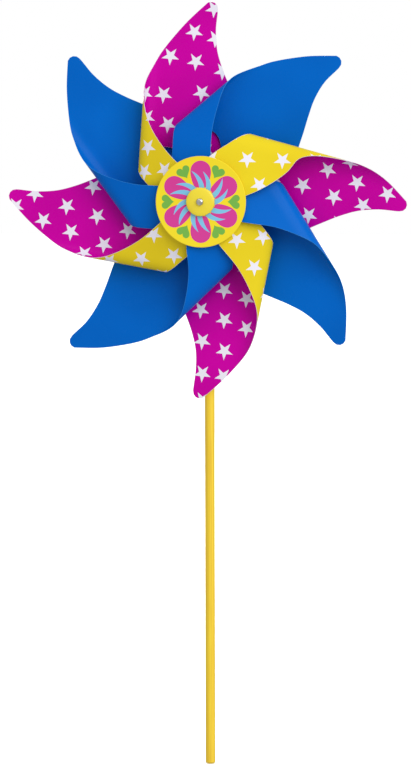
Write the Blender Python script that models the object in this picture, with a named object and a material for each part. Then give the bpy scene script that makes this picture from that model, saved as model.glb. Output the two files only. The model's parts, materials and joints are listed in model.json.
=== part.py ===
"""Wind spinner: a double four-armed foil wheel turning on a pin at the top of a wooden stick.

Frame: metres, +Z up along the stick, origin at the centre of the stick's foot, wheel facing -Y.
Two die-cut plastic sheets make the wheel. Each has a hub ring and four arms. An arm lies flat
from the ring to its rounded tip, and its strap rolls forward over a soft bend and comes back to
the axle, where all eight straps are stacked under the face disc.
"""

import math

import bmesh
import bpy
from mathutils import Matrix, Vector, geometry

MM = 0.001

# ---- driving dimensions, millimetres ----------------------------------------------------------
AXLE_HEIGHT = 400.0
STICK_DIAMETER = 7.0
STICK_ABOVE_AXLE = 12.0
STICK_EDGE_ROUND = 0.6

PIN_DIAMETER = 2.0
PIN_HEAD_DIAMETER = 5.0
PIN_HEAD_HEIGHT = 1.7
PIN_HEAD_RIM = 0.4          # height of the head's straight side
PIN_TAIL = 4.0              # length of pin behind the retainer
PIN_POINT = 0.6             # length of the tail's chamfer
RETAINER_DIAMETER = 8.0
RETAINER_THICKNESS = 1.2

GAP = 0.35                  # clearance between neighbouring pieces
SHEET = 0.3                 # thickness of the foil
BEAD_DIAMETER = 9.0
BEAD_LENGTH = 2.0
FLANGE_DIAMETER = 32.0
FLANGE_THICKNESS = 1.0
FLANGE_ROUND = 0.3
TUBE_DIAMETER = 6.0
TUBE_IN_CAP = 1.6           # how far the hub's tube reaches into the cap
SLEEVE_DIAMETER = 11.0
SLEEVE_LENGTH = 20.6
WASHER_DIAMETER = 26.0
WASHER_THICKNESS = 0.8
DISC_DIAMETER = 64.0
DISC_THICKNESS = 0.8
CAP_DIAMETER = 20.0
CAP_HEIGHT = 3.4
CAP_CROWN = 1.5             # how much lower the cap's rim is than its middle
CAP_EDGE = 0.3

# The stack along the axle, measured forward (towards -Y) from the stick's axis.
BEAD_BACK = STICK_DIAMETER / 2 + GAP
FLANGE_BACK = BEAD_BACK + BEAD_LENGTH + GAP
STAR_RING = FLANGE_BACK + FLANGE_THICKNESS + GAP + SHEET / 2
BLUE_RING = STAR_RING + SHEET + GAP
SLEEVE_BACK = BLUE_RING + SHEET / 2 + GAP
WASHER_BACK = SLEEVE_BACK + SLEEVE_LENGTH + GAP
FIRST_STRAP = WASHER_BACK + WASHER_THICKNESS + GAP + SHEET / 2
STRAP_PITCH = SHEET + GAP
LAST_STRAP = FIRST_STRAP + 7 * STRAP_PITCH
DISC_BACK = LAST_STRAP + SHEET / 2 + GAP
CAP_BACK = DISC_BACK + DISC_THICKNESS + GAP
CAP_FRONT = CAP_BACK + CAP_HEIGHT
TUBE_FRONT = CAP_BACK + TUBE_IN_CAP
RETAINER_FRONT = -STICK_DIAMETER / 2 - GAP

# ---- the arm's flat pattern, millimetres ------------------------------------------------------
# Body points: x runs along the arm from the axle to the tip, y is to the arm's rolled side.
TUBE_HOLE = TUBE_DIAMETER / 2 + GAP
RING_RADIUS = 19.5
TIP_CENTRE = (135.2, 0.0)
TIP_ROUND = 4.9
OUTER_EDGE = [(126.5, 16.0), (113.7, 26.9), (103.7, 34.2), (92.9, 40.3), (80.7, 48.0)]
TRAILING_EDGE = [(54.0, -31.5), (60.0, -26.5), (71.0, -20.0), (82.0, -15.0), (94.0, -9.8),
                 (106.0, -5.8), (120.0, -4.0)]
NECK_LEADING = [(37.4, 33.0), (37.8, 27.2), (35.4, 21.8), (29.6, 15.6), (23.5, 11.6)]
NECK_TRAILING = [(24.5, -5.8), (31.0, -6.4), (36.5, -10.0), (43.0, -20.0), (48.5, -28.5)]
RING_LEADING_ANGLE = 34.0
RING_TRAILING_ANGLE = -21.0
# Strap points: x runs along the bend's axis, y is the distance past the middle of the bend.
STRAP_OUTER = [(58.0, 14.2), (43.5, 26.0), (30.0, 42.0)]
STRAP_INNER = [(-9.5, 42.0), (-1.2, 27.0), (7.8, 16.3), (19.8, 1.0), (28.0, -12.5)]
STRAP_END_ROUND = 9.0
END_ROUND_SPAN = (-70, 95)         # where the strap's round end starts and stops, from the far side

# ---- how each arm is rolled -------------------------------------------------------------------
# Direction of the arm, turn of its tip off that direction, direction of the bend from the arm
# (degrees), reach of the bend from the axle (mm), the strap's place in the stack, 0 lowest, how
# much narrower than STRAP_OUTER the strap is and how much longer than TIP_CENTRE the arm (mm).
STAR_ARMS = {
    "right": (0, -1.0, 74.7, 54.1, 7, -9.0, 1.7),
    "top": (90, -1.2, 85.9, 48.9, 1, 8.5, 0.0),
    "left": (180, -1.3, 79.7, 54.2, 3, 4.0, 3.0),
    "bottom": (270, -2.5, 78.5, 53.3, 5, 2.5, 0.0),
}
BLUE_ARMS = {
    "upper_right": (45, 2.0, 84.6, 54.5, 0, 6.5, -2.4),
    "upper_left": (135, -0.6, 81.7, 52.6, 2, 3.3, 1.0),
    "lower_left": (225, 1.5, 88.7, 47.8, 4, 2.2, 2.2),
    "lower_right": (315, -0.9, 76.8, 53.4, 6, 1.0, -0.8),
}
STRAP_SLOPE = math.radians(15.0)   # climb of a strap from its bend towards the axle
FLAT_REACH = 15.0                  # how far from the axle the straps are pressed flat
EASE_LENGTH = 10.0                 # length over which a strap goes from its slope to flat
FAN_TILT = math.radians(3.2)       # each arm leans, rolled side forward, so the arms overlap in turn
LEAN_STARTS, LEAN_FULL = 21.0, 35.0
TURN_SPAN = (70.0, 130.0)          # where along the arm its tip turns

# ---- mesh fineness ----------------------------------------------------------------------------
BEND_FACETS = 12
EASE_FACETS = 4
EDGE_STEP = 7.0
ALONG_STEP = 16.0
TRACK_STEP = 0.25
NECK_ROWS, NECK_ANGLES = (24.0, 28.0, 32.0), (-6, 6, 18)
ROUND_SIDES = 32


def smoothstep(low, high, value):
    t = min(max((value - low) / (high - low), 0.0), 1.0)
    return t * t * (3 - 2 * t)


def half_wave(t):
    """Goes from 0 to 1 as t does, at a rate that follows half a sine wave."""
    return (1 - math.cos(math.pi * min(max(t, 0.0), 1.0))) / 2


def unit_turn(start, stop, steps=400):
    """Largest reach, last reach and rise of a sheet of unit length that turns from start to stop."""
    reach, rise = [0.0], 0.0
    for i in range(steps):
        turned = start + (stop - start) * half_wave((i + 0.5) / steps)
        reach.append(reach[-1] + math.cos(turned) / steps)
        rise += math.sin(turned) / steps
    return max(reach), reach[-1], rise


BEND_TURN = math.pi - STRAP_SLOPE
BEND_REACH, BEND_END, BEND_RISE = unit_turn(0, BEND_TURN)
_, EASE_END, EASE_RISE = unit_turn(BEND_TURN, math.pi)


class Arm:
    """One arm of a sheet: its flat outline and the map from the flat sheet to the rolled one."""

    def __init__(self, ring, direction, tip_turn, bend_direction, reach, layer, narrower, longer):
        self.ring = ring
        self.spin = Matrix.Rotation(math.radians(direction), 2)
        self.tip_turn = math.radians(tip_turn)
        self.narrower, self.longer = narrower, longer
        normal = math.radians(bend_direction)
        self.normal = Vector((math.cos(normal), math.sin(normal)))
        self.along = Vector((math.sin(normal), -math.cos(normal)))
        # The bend and the slope behind it share the strap's climb and its way back to the axle.
        climb = FIRST_STRAP + layer * STRAP_PITCH - STAR_RING - EASE_LENGTH * EASE_RISE
        run = reach - FLAT_REACH + EASE_LENGTH * EASE_END
        steepness = math.tan(STRAP_SLOPE)
        share = BEND_RISE - (BEND_REACH - BEND_END) * steepness
        self.bend_length = (climb - run * steepness) / share
        self.bend_start = reach - BEND_REACH * self.bend_length
        self.middle = self.bend_start + self.bend_length / 2
        slope_length = (climb - BEND_RISE * self.bend_length) / math.sin(STRAP_SLOPE)
        self.ease_start = self.bend_start + self.bend_length + slope_length
        self.hole = self.ease_start + EASE_LENGTH + FLAT_REACH
        self.track = self.make_track()

    def turned(self, past):
        """Angle that the sheet has turned through, at a distance from the axle along the sheet."""
        bent = half_wave((past - self.bend_start) / self.bend_length)
        eased = half_wave((past - self.ease_start) / EASE_LENGTH)
        return BEND_TURN * bent + STRAP_SLOPE * eased

    def make_track(self):
        """Distances out from the axle and forward along the sheet, a step apart, from the bend on."""
        out, forward = self.bend_start, 0.0
        track = [(out, forward)]
        steps = math.ceil((self.hole + 2 * STRAP_END_ROUND - self.bend_start) / TRACK_STEP)
        for i in range(steps):
            angle = self.turned(self.bend_start + (i + 0.5) * TRACK_STEP)
            out += math.cos(angle) * TRACK_STEP
            forward += math.sin(angle) * TRACK_STEP
            track.append((out, forward))
        return track

    def rolled(self, past):
        """Distances out from the axle and forward, at a distance from the axle along the sheet."""
        if past <= self.bend_start:
            return past, 0.0
        place = (past - self.bend_start) / TRACK_STEP
        low = int(place)
        (out, forward), (next_out, next_forward) = self.track[low:low + 2]
        return (out + (next_out - out) * (place - low),
                forward + (next_forward - forward) * (place - low))

    def body(self, point):
        """A body point, with the arm's own length and the turn of its tip."""
        share = smoothstep(*TURN_SPAN, math.hypot(*point))
        reached = Vector(point) + Vector((self.longer * share, 0))
        return Matrix.Rotation(self.tip_turn * share, 2) @ reached

    def strap(self, point):
        """A strap point, given along the bend and past its middle, in the flat sheet."""
        return point[0] * self.along + (self.middle + point[1]) * self.normal

    def outline(self):
        """Closed outline of this arm's quarter of the sheet, counter-clockwise from the ring."""
        away = math.degrees(math.atan2(self.normal.y, self.normal.x))
        start, stop = END_ROUND_SPAN
        tip = arc(TIP_CENTRE, TIP_ROUND, -95, 58, 5)
        edge = [self.body(p) for p in TRAILING_EDGE + tip + OUTER_EDGE]
        corner, *outer = STRAP_OUTER
        edge += [self.strap((corner[0] - max(self.narrower, 0), corner[1]))]
        edge += [self.strap((x - self.narrower, y)) for x, y in outer]
        edge += arc(self.hole_centre(), STRAP_END_ROUND, away + start, away + stop, 5)
        edge += [self.strap(p) for p in STRAP_INNER] + [Vector(p) for p in NECK_LEADING]
        ring = [polar(RING_RADIUS, RING_LEADING_ANGLE), polar(RING_RADIUS, 45)]
        ring_back = [polar(RING_RADIUS, -45), polar(RING_RADIUS, RING_TRAILING_ANGLE)]
        bore = arc((0, 0), TUBE_HOLE, 45, -45, 5)
        return smooth_run([Vector(p) for p in NECK_TRAILING] + edge), ring, bore, ring_back

    def hole_centre(self):
        return self.hole * self.normal

    def place(self, flat):
        """Rolled position of a point of the flat sheet, and the sheet's normal there."""
        past, beside = flat.dot(self.normal), flat.dot(self.along)
        out, forward = self.rolled(past)
        lean = smoothstep(LEAN_STARTS, LEAN_FULL, flat.length)
        unrolled = 1 - smoothstep(0, 1, (past - self.bend_start) / self.bend_length)
        forward += math.tan(FAN_TILT) * flat.y * lean * unrolled
        forward += STAR_RING + (self.ring - STAR_RING) * (1 - lean) * unrolled
        turned = self.turned(past)
        plane = self.spin @ (out * self.normal + beside * self.along)
        facing = self.spin @ (-math.sin(turned) * self.normal)
        return (Vector((plane.x, -forward, AXLE_HEIGHT + plane.y)),
                Vector((facing.x, -math.cos(turned), facing.y)))


def polar(radius, degrees):
    return Vector((radius * math.cos(math.radians(degrees)), radius * math.sin(math.radians(degrees))))


def arc(centre, radius, start, stop, steps):
    return [Vector(centre) + polar(radius, start + (stop - start) * i / steps) for i in range(steps + 1)]


def smooth_run(points, step=EDGE_STEP):
    """A smooth open curve through the points, cut into stretches of about one step."""
    run = [points[0]]
    ends = [points[0] * 2 - points[1]] + points + [points[-1] * 2 - points[-2]]
    for a, b, c, d in zip(ends, ends[1:], ends[2:], ends[3:]):
        pieces = max(1, round((c - b).length / step))
        for i in range(1, pieces + 1):
            run.append(through(a, b, c, d, i / pieces))
    return run


def through(a, b, c, d, t):
    """Centripetal Catmull-Rom point between b and c."""
    ka, kb, kc = (math.sqrt(max((q - p).length, 1e-6)) for p, q in ((a, b), (b, c), (c, d)))
    ta, tb, tc, td = 0.0, ka, ka + kb, ka + kb + kc
    x = tb + (tc - tb) * t
    p = a + (b - a) * ((x - ta) / (tb - ta))
    q = b + (c - b) * ((x - tb) / (tc - tb))
    r = c + (d - c) * ((x - tc) / (td - tc))
    pq = p + (q - p) * ((x - ta) / (tc - ta))
    qr = q + (r - q) * ((x - tb) / (td - tb))
    return pq + (qr - pq) * ((x - tb) / (tc - tb))


# ---- materials --------------------------------------------------------------------------------
def material(name, colour, roughness, metallic=0.0):
    made = bpy.data.materials.new(name)
    made.use_nodes = True
    shader = made.node_tree.nodes["Principled BSDF"]
    shader.inputs["Base Color"].default_value = (*colour, 1.0)
    shader.inputs["Roughness"].default_value = roughness
    shader.inputs["Metallic"].default_value = metallic
    return made


# ---- pieces -----------------------------------------------------------------------------------
def add_object(name, verts, faces, finish, parent, smooth_angle=40):
    """A mesh object whose points are metres from its parent's origin."""
    mesh = bpy.data.meshes.new(name)
    mesh.from_pydata([tuple(v) for v in verts], [], faces)
    mesh.materials.append(finish)
    mesh.shade_smooth()
    mesh.set_sharp_from_angle(angle=math.radians(smooth_angle))
    made = bpy.data.objects.new(name, mesh)
    bpy.context.collection.objects.link(made)
    made.parent = parent
    return made


def empty(name, location):
    made = bpy.data.objects.new(name, None)
    made.location = location
    bpy.context.collection.objects.link(made)
    return made


def inside(point, loop):
    hit = False
    for a, b in zip(loop, loop[1:] + loop[:1]):
        if (a.y > point.y) != (b.y > point.y):
            if point.x < a.x + (point.y - a.y) / (b.y - a.y) * (b.x - a.x):
                hit = not hit
    return hit


def clear_of(point, loop, distance):
    return all((point - p).length > distance for p in loop)


def flat_triangles(arm):
    """Triangles over one arm's quarter of the flat sheet, with rows of points across the bend."""
    run, ring, bore, ring_back = arm.outline()
    edge = ring_back + run + ring + bore
    hole = arc(arm.hole_centre(), TUBE_HOLE, 0, 330, 11)
    row_step = arm.bend_length / BEND_FACETS
    rows = [arm.bend_start + i * row_step for i in range(BEND_FACETS + 1)]
    rows += [arm.ease_start + i * EASE_LENGTH / EASE_FACETS for i in range(EASE_FACETS + 1)]
    rows += [arm.bend_start - i * ALONG_STEP for i in range(1, 6)]
    room = row_step * 0.6
    inner = []
    for row in rows:
        for i in range(-4, 14):
            point = row * arm.normal + i * ALONG_STEP * arm.along
            if inside(point, edge) and clear_of(point, edge + hole, room):
                inner.append(point)
    inner += [polar(radius, angle) for radius in NECK_ROWS for angle in NECK_ANGLES]
    points = edge + hole + inner
    first = len(edge)
    lines = [(i, (i + 1) % first) for i in range(first)]
    lines += [(first + i, first + (i + 1) % len(hole)) for i in range(len(hole))]
    flat, _, cells, *_ = geometry.delaunay_2d_cdt(points, lines, [], 0, 1e-5)
    kept = []
    for cell in cells:
        middle = (flat[cell[0]] + flat[cell[1]] + flat[cell[2]]) / 3
        if inside(middle, edge) and not inside(middle, hole):
            kept.append(cell)
    return flat, kept


def rolled_sheet(name, arms, ring, finish, parent):
    """One closed solid: the ring and its four rolled arms, SHEET thick."""
    index, front, back, faces = {}, [], [], []
    for numbers in arms.values():
        arm = Arm(ring, *numbers)
        flat, cells = flat_triangles(arm)
        places = []
        for point in flat:
            middle, facing = arm.place(point)
            key = tuple(round(c, 3) for c in middle)
            if key not in index:
                index[key] = len(front)
                front.append(middle + facing * SHEET / 2)
                back.append(middle - facing * SHEET / 2)
            places.append(index[key])
        faces += [tuple(places[i] for i in cell) for cell in cells]
    count = len(front)
    used = {(a, b) for f in faces for a, b in zip(f, f[1:] + f[:1])}
    walls = [(b, a, a + count, b + count) for a, b in used if (b, a) not in used]
    backs = [tuple(i + count for i in reversed(f)) for f in faces]
    centre = Vector((0, 0, AXLE_HEIGHT))
    verts = [(p - centre) * MM for p in front + back]
    return add_object(name, verts, faces + backs + sorted(walls), finish, parent)


def turned(name, profile, finish, parent, sides=ROUND_SIDES):
    """A piece turned about the axle. The profile is (radius, forward) points in millimetres,
    and runs from the back round the outside to the front."""
    verts, rings = [], []
    for radius, forward in profile:
        if radius == 0:
            rings.append([len(verts)] * sides)
            verts.append(Vector((0, -forward, 0)) * MM)
            continue
        rings.append(list(range(len(verts), len(verts) + sides)))
        for i in range(sides):
            spoke = polar(radius, 360 * i / sides)
            verts.append(Vector((spoke.x, -forward, spoke.y)) * MM)
    closed = profile[0][0] != 0
    pairs = list(zip(rings, rings[1:])) + ([(rings[-1], rings[0])] if closed else [])
    faces = []
    for low, high in pairs:
        for i in range(sides):
            j = (i + 1) % sides
            face = [low[i], low[j], high[j], high[i]]
            face = [v for n, v in enumerate(face) if v not in face[:n]]
            faces.append(tuple(face))
    return add_object(name, verts, faces, finish, parent)


def ring_profile(inner, outer, back, front, round_edge=0.0):
    """A washer or tube: bore, back face, rounded outside, front face."""
    e = round_edge
    outside = [(outer - e, back), (outer, back + e), (outer, front - e), (outer - e, front)]
    return [(inner, back)] + outside + [(inner, front)]


def make_stick(finish, parent):
    radius, length = STICK_DIAMETER / 2, AXLE_HEIGHT + STICK_ABOVE_AXLE
    bm = bmesh.new()
    bmesh.ops.create_cone(bm, cap_ends=True, segments=ROUND_SIDES, radius1=radius * MM,
                          radius2=radius * MM, depth=length * MM,
                          matrix=Matrix.Translation((0, 0, length / 2 * MM)))
    ends = [e for e in bm.edges if abs(e.verts[0].co.z - e.verts[1].co.z) < MM]
    bmesh.ops.bevel(bm, geom=ends, offset=STICK_EDGE_ROUND * MM, segments=1, affect="EDGES")
    mesh = bpy.data.meshes.new("stick")
    bm.to_mesh(mesh)
    bm.free()
    mesh.materials.append(finish)
    mesh.shade_smooth()
    mesh.set_sharp_from_angle(angle=math.radians(40))
    stick = bpy.data.objects.new("stick", mesh)
    bpy.context.collection.objects.link(stick)
    stick.parent = parent
    bore = PIN_DIAMETER / 2 + GAP
    reach = STICK_DIAMETER
    drill = turned("stick_drill", [(0, -reach), (bore, -reach), (bore, reach), (0, reach)],
                   finish, parent, sides=16)
    drill.location.z = AXLE_HEIGHT * MM
    drill.hide_render = True
    drill.display_type = "WIRE"
    cut = stick.modifiers.new("pin hole", "BOOLEAN")
    cut.operation = "DIFFERENCE"
    cut.object = drill
    return stick


def make_pin(root, metal):
    """The pin and the push-on retainer behind the stick."""
    pin, bore = PIN_DIAMETER / 2, PIN_DIAMETER / 2 + GAP
    head, head_back = PIN_HEAD_DIAMETER / 2, CAP_FRONT + GAP
    retainer_back = RETAINER_FRONT - RETAINER_THICKNESS
    tail = retainer_back - PIN_TAIL
    shank = [(0, tail), (pin * 0.6, tail), (pin, tail + PIN_POINT), (pin, head_back)]
    dome = [(head, head_back), (head, head_back + PIN_HEAD_RIM),
            (head * 0.8, head_back + PIN_HEAD_HEIGHT * 0.7),
            (head * 0.4, head_back + PIN_HEAD_HEIGHT * 0.94), (0, head_back + PIN_HEAD_HEIGHT)]
    turned("axle_pin", shank + dome, metal, root, sides=20)
    turned("pin_retainer", ring_profile(bore, RETAINER_DIAMETER / 2, retainer_back, RETAINER_FRONT, 0.3),
           metal, root, sides=24)


def make_rings(wheel, bead, plastic_yellow, plastic_white):
    """Everything that is threaded on the pin or on the hub's tube, but for the hub and the cap."""
    for name, inner, diameter, back, length, edge, sides, finish, parent in (
            ("rear_bead", PIN_DIAMETER / 2 + GAP, BEAD_DIAMETER, BEAD_BACK, BEAD_LENGTH, 0.5, 24,
             plastic_yellow, bead),
            ("spacer_sleeve", TUBE_HOLE, SLEEVE_DIAMETER, SLEEVE_BACK, SLEEVE_LENGTH, 0.3, 24,
             plastic_white, wheel),
            ("strap_washer", TUBE_HOLE, WASHER_DIAMETER, WASHER_BACK, WASHER_THICKNESS, 0.2, 32,
             plastic_white, wheel),
            ("face_disc", TUBE_HOLE, DISC_DIAMETER, DISC_BACK, DISC_THICKNESS, 0.2, 64,
             plastic_yellow, wheel)):
        turned(name, ring_profile(inner, diameter / 2, back, back + length, edge), finish, parent, sides)


def make_hub(wheel, plastic_white):
    """The flange behind the sheets and the bearing tube, in one moulding."""
    bore, tube, flange = PIN_DIAMETER / 2 + GAP, TUBE_DIAMETER / 2, FLANGE_DIAMETER / 2
    outside = ring_profile(bore, flange, FLANGE_BACK, FLANGE_BACK + FLANGE_THICKNESS, FLANGE_ROUND)[:-1]
    tube_side = [(tube, FLANGE_BACK + FLANGE_THICKNESS), (tube, TUBE_FRONT), (bore, TUBE_FRONT)]
    turned("rear_hub", outside + tube_side, plastic_white, wheel)


def make_cap(wheel, plastic_yellow):
    """The domed cap, with a socket behind for the hub's tube."""
    bore, cap = PIN_DIAMETER / 2 + GAP, CAP_DIAMETER / 2
    rim = CAP_FRONT - CAP_CROWN
    side = [(TUBE_HOLE, CAP_BACK), (cap - 0.2, CAP_BACK), (cap, CAP_BACK + CAP_EDGE), (cap, rim)]
    crown = [(cap - 0.5, rim + 0.5), (cap * 0.7, CAP_FRONT - 0.4), (cap * 0.35, CAP_FRONT)]
    socket = [(bore, CAP_FRONT), (bore, TUBE_FRONT + GAP), (TUBE_HOLE, TUBE_FRONT + GAP)]
    turned("front_cap", side + crown + socket, plastic_yellow, wheel, sides=40)


def build():
    for old in list(bpy.data.objects):
        bpy.data.objects.remove(old, do_unlink=True)
    wood = material("painted_wood", (0.75, 0.52, 0.03), 0.5)
    star_print = material("star_foil", (0.55, 0.0, 0.35), 0.25)
    blue_foil = material("blue_foil", (0.0, 0.13, 0.58), 0.25)
    plastic_yellow = material("yellow_plastic", (0.9, 0.68, 0.05), 0.35)
    plastic_white = material("white_plastic", (0.8, 0.8, 0.78), 0.4)
    metal = material("steel", (0.7, 0.7, 0.68), 0.25, 1.0)
    stand = empty("stand", (0, 0, 0))
    axle = (0, 0, AXLE_HEIGHT * MM)
    fixed_axis, wheel, bead = (empty(n, axle) for n in ("fixed_axis", "wheel_axis", "bead_axis"))
    make_stick(wood, stand)
    make_pin(fixed_axis, metal)
    make_hub(wheel, plastic_white)
    make_rings(wheel, bead, plastic_yellow, plastic_white)
    make_cap(wheel, plastic_yellow)
    rolled_sheet("star_sheet", STAR_ARMS, STAR_RING, star_print, wheel)
    rolled_sheet("blue_sheet", BLUE_ARMS, BLUE_RING, blue_foil, wheel)


build()
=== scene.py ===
"""Looks of the wind spinner: printed foil sheets, printed face disc, moulded hub, painted stick.

Sizes are in millimetres and are turned to metres where a mesh is made. +Z is up the stick and
the wheel faces -Y. "Forward" is the distance from the stick's axis towards -Y.
"""

import json
import math

import bpy
from mathutils import Matrix, Vector, geometry


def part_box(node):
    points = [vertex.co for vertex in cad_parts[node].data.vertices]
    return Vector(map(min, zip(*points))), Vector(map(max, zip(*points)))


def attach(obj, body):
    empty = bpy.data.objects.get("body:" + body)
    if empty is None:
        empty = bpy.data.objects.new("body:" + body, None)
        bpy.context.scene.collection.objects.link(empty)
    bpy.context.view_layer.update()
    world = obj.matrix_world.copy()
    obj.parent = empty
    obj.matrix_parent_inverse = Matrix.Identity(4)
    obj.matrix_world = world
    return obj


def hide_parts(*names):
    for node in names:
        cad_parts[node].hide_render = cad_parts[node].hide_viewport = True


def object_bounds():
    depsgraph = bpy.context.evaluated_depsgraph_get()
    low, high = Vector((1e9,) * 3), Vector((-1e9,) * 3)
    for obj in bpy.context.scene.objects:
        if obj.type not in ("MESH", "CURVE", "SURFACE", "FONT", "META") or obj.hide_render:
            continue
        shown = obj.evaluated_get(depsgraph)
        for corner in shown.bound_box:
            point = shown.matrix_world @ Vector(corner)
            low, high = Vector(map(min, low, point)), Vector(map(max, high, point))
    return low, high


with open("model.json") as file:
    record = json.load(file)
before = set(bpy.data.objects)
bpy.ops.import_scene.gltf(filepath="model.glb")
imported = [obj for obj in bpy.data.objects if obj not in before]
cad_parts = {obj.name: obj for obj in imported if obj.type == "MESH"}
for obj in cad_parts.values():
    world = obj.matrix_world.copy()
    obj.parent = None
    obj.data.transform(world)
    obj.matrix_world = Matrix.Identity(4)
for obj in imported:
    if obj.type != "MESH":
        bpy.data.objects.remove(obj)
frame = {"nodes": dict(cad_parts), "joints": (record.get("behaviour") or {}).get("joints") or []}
cad_low, cad_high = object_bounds()

MM = 0.001
TINY = 1e-6                  # lengths below this count as nothing
SHARP_ANGLE = math.radians(35)
GAP = 0.35                   # clearance between neighbouring pieces
SHEET = 0.3                  # thickness of the foil
FLANGE_THICKNESS = 1.0
PIN_DIAMETER = 2.0
TUBE_DIAMETER = 6.0
AXLE_HEIGHT = frame["joints"][0]["pos_m"][2] / MM


def forward_span(node):
    """How far forward a node's back and front are."""
    low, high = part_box(node)
    return -high.y / MM, -low.y / MM


def node_radius(node):
    low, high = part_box(node)
    return (high.x - low.x) / 2 / MM


STAR_RING = forward_span("rear_hub")[0] + FLANGE_THICKNESS + GAP + SHEET / 2
BLUE_RING = STAR_RING + SHEET + GAP
FIRST_STRAP = forward_span("strap_washer")[1] + GAP + SHEET / 2
STRAP_PITCH = SHEET + GAP
TUBE_HOLE = TUBE_DIAMETER / 2 + GAP
PIN_BORE = PIN_DIAMETER / 2 + GAP

# ---- the arm's flat pattern: x along the arm to the tip, y to the arm's rolled side --------------
RING_RADIUS = 19.5
TIP_CENTRE = (135.2, 0.0)
TIP_ROUND = 4.9
TIP_SPAN = (-95, 58)         # where the tip's round starts and stops, degrees
OUTER_EDGE = [(126.5, 16.0), (113.7, 26.9), (103.7, 34.2), (92.9, 40.3), (80.7, 48.0)]
TRAILING_EDGE = [(54.0, -31.5), (60.0, -26.5), (71.0, -20.0), (82.0, -15.0), (94.0, -9.8),
                 (106.0, -5.8), (120.0, -4.0)]
NECK_LEADING = [(37.4, 33.0), (37.8, 27.2), (35.4, 21.8), (29.6, 15.6), (23.5, 11.6)]
NECK_TRAILING = [(24.5, -5.8), (31.0, -6.4), (36.5, -10.0), (43.0, -20.0), (48.5, -28.5)]
RING_LEADING_ANGLE = 34.0
RING_TRAILING_ANGLE = -21.0
HALF_QUARTER = 45            # an arm's quarter of the sheet goes this far to each side of it
# Strap points: x along the bend's axis, y the distance past the middle of the bend.
STRAP_OUTER = [(58.0, 14.2), (43.5, 26.0), (30.0, 42.0)]
STRAP_INNER = [(-9.5, 42.0), (-1.2, 27.0), (7.8, 16.3), (19.8, 1.0), (28.0, -12.5)]
STRAP_END_ROUND = 9.0
END_ROUND_SPAN = (-70, 95)   # where the strap's round end starts and stops, from the far side

# Direction of the arm, turn of its tip off that direction, direction of the bend from the arm
# (degrees), reach of the bend from the axle (mm), the strap's place in the stack, 0 lowest, how
# much narrower than STRAP_OUTER the strap is and how much longer than TIP_CENTRE the arm (mm).
STAR_ARMS = {
    "right": (0, -1.0, 74.7, 54.1, 7, -9.0, 1.7),
    "top": (90, -1.2, 85.9, 48.9, 1, 8.5, 0.0),
    "left": (180, -1.3, 79.7, 54.2, 3, 4.0, 3.0),
    "bottom": (270, -2.5, 78.5, 53.3, 5, 2.5, 0.0),
}
BLUE_ARMS = {
    "upper_right": (45, 2.0, 84.6, 54.5, 0, 6.5, -2.4),
    "upper_left": (135, -0.6, 81.7, 52.6, 2, 3.3, 1.0),
    "lower_left": (225, 1.5, 88.7, 47.8, 4, 2.2, 2.2),
    "lower_right": (315, -0.9, 76.8, 53.4, 6, 1.0, -0.8),
}
STRAP_SLOPE = math.radians(15.0)   # climb of a strap from its bend towards the axle
FLAT_REACH = 15.0                  # how far from the axle the straps are pressed flat
EASE_LENGTH = 10.0                 # length over which a strap goes from its slope to flat
FAN_TILT = math.radians(3.2)       # lean of every arm about its own length
LEAN_STARTS, LEAN_FULL = 21.0, 35.0     # distances from the axle between which the lean grows
TURN_SPAN = (70.0, 130.0)          # and those between which an arm's tip turns and lengthens

# ---- the print: stars on each arm ----------------------------------------------------------------
# Places and steps are millimetres in the flat sheet, whose axes are the wheel's at rest.
FACE_STARS = {               # the stars that show most on the printed face
    "right": [(86, 22), (68, 11), (106.5, 13), (90, 3), (128, 5), (72, -10), (110.5, -3),
              (103, 29)],
    "top": [(-9, 119), (-26, 102), (-8, 98), (-31, 75), (-4, 76), (-28, 54), (5, 135), (6, 114),
            (11, 91), (-45, 76), (-43, 59)],
    "left": [(-82, 10), (-101, -4), (-79, -11), (-118, -14), (-98, -22), (-74, -31), (-57, -21),
             (-124, 5), (-138, -4), (-88, -38)],
    "bottom": [(12, -63), (-5, -77), (28, -69), (12, -84), (28, -90), (-4, -99), (12, -106),
               (-4, -122), (11, -124)],
}
REVERSE_STARS = {            # and those that show on the straps
    "right": [(44.2, 73.8), (65.7, 61.7), (44.6, 46.4), (26.8, 60.3)],
    "top": [(-62.9, 39.8), (-62.5, 22.3), (-78.2, 25.8)],
    "left": [(-45.5, -83.2), (-27.4, -73.8), (-48.4, -62.8)],
    "bottom": [(82.4, -38.5), (66.1, -29.4), (63.5, -51.4)],
}
FACE_ROWS = {                # first star, step along a row, step to the next row, a spike's angle
    "right": ((107, 13), (4, -18), (21.5, -7), 265),
    "top": ((-9, 119), (2, -21), (-20, -19), 265),
    "left": ((-101, -4), (5, -19), (17, 10), 265),
    "bottom": ((28, -69), (0, -21), (16, -6), 265),
}
REVERSE_ROWS = {             # the same for the reverse
    "right": ((43.2, 74.1), (21, -12.5), (18, 11), 60),
    "top": ((-62.9, 39.8), (1, -21), (-19.5, 4.5), 262),
    "left": ((-45.5, -83.2), (18, 9), (-3, 20), 69),
    "bottom": ((82.4, -38.5), (-16, 9), (-19, -13.5), 247),
}
ROWS_EACH_WAY = 14           # enough rows, and stars in a row, to cross the sheet
STAR_CORNERS = 10            # five spikes and the five corners between them
STAR_RADIUS = 6.5
STAR_WAIST = 0.39            # a star's inner corners, as a share of its radius
STAR_ROOM = 19.0             # rows leave out a star that is closer than this to a placed one
BARE_EDGE = 0.12             # unprinted line along the cut edge

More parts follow.
